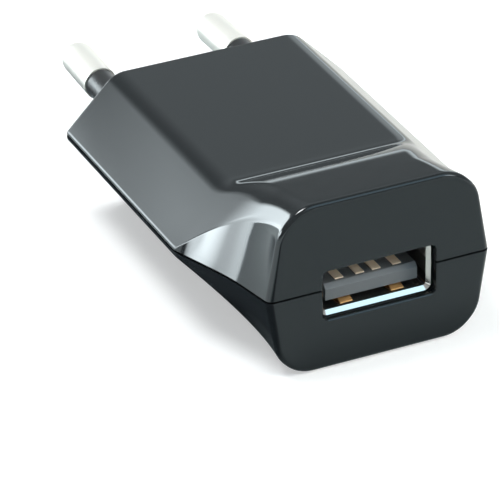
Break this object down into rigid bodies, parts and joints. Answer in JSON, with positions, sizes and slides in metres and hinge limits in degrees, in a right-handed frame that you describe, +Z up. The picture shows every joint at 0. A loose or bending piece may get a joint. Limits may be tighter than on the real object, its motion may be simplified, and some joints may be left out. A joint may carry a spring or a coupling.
{
  "type": "usb wall charger",
  "caption": "Slim USB wall charger with a flat two-pin mains plug, hexagonal two-shell housing that narrows and thickens towards a USB-A port.",
  "frame": {"origin": "midway between the pins on the plug face, on the parting plane", "axes": "+Y out of the plug face along the pins, +Z up out of the long flat of the upper housing, +X to the right seen from the USB face"},
  "size_m": [0.0354, 0.0644, 0.0205],
  "materials": {
    "shell": "glossy black moulded",
    "insert": "satin black moulded",
    "pin_metal": "nickel plated brass",
    "sleeve": "satin black moulded",
    "brass": "tinned brass strip",
    "board": "green solder mask",
    "socket_metal": "nickel plated steel",
    "socket_plastic": "black moulded",
    "gold": "gold plated",
    "ferrite": "sintered ferrite",
    "bobbin": "black moulded",
    "winding": "yellow tape over enamelled wire",
    "tape": "yellow polyester tape",
    "can_sleeve": "shrunk plastic sleeve",
    "resistor": "green lacquer",
    "chip": "moulded epoxy",
    "ceramic": "coated ceramic"
  },
  "bodies": {
    "root": {"upper_housing": "shell", "lower_housing": "shell", "plug_insert": "insert", "pin_left": "pin_metal", "pin_right": "pin_metal", "pin_sleeve_left": "sleeve", "pin_sleeve_right": "sleeve", "contact_strip_left": "brass", "contact_strip_right": "brass", "circuit_board": "board", "usb_shell": "socket_metal", "usb_insulator": "socket_plastic", "usb_contacts": "gold", "transformer_core": "ferrite", "transformer_bobbin": "bobbin", "transformer_winding": "winding", "transformer_tape": "tape", "bulk_capacitor_left": "can_sleeve", "bulk_capacitor_right": "can_sleeve", "output_capacitor": "can_sleeve", "fusible_resistor": "resistor", "input_choke": "ferrite", "bridge_rectifier": "chip", "controller_ic": "chip", "output_diode": "chip", "switching_transistor": "chip", "y_capacitor": "ceramic", "smd_chips": "ceramic"}
  },
  "joints": []
}
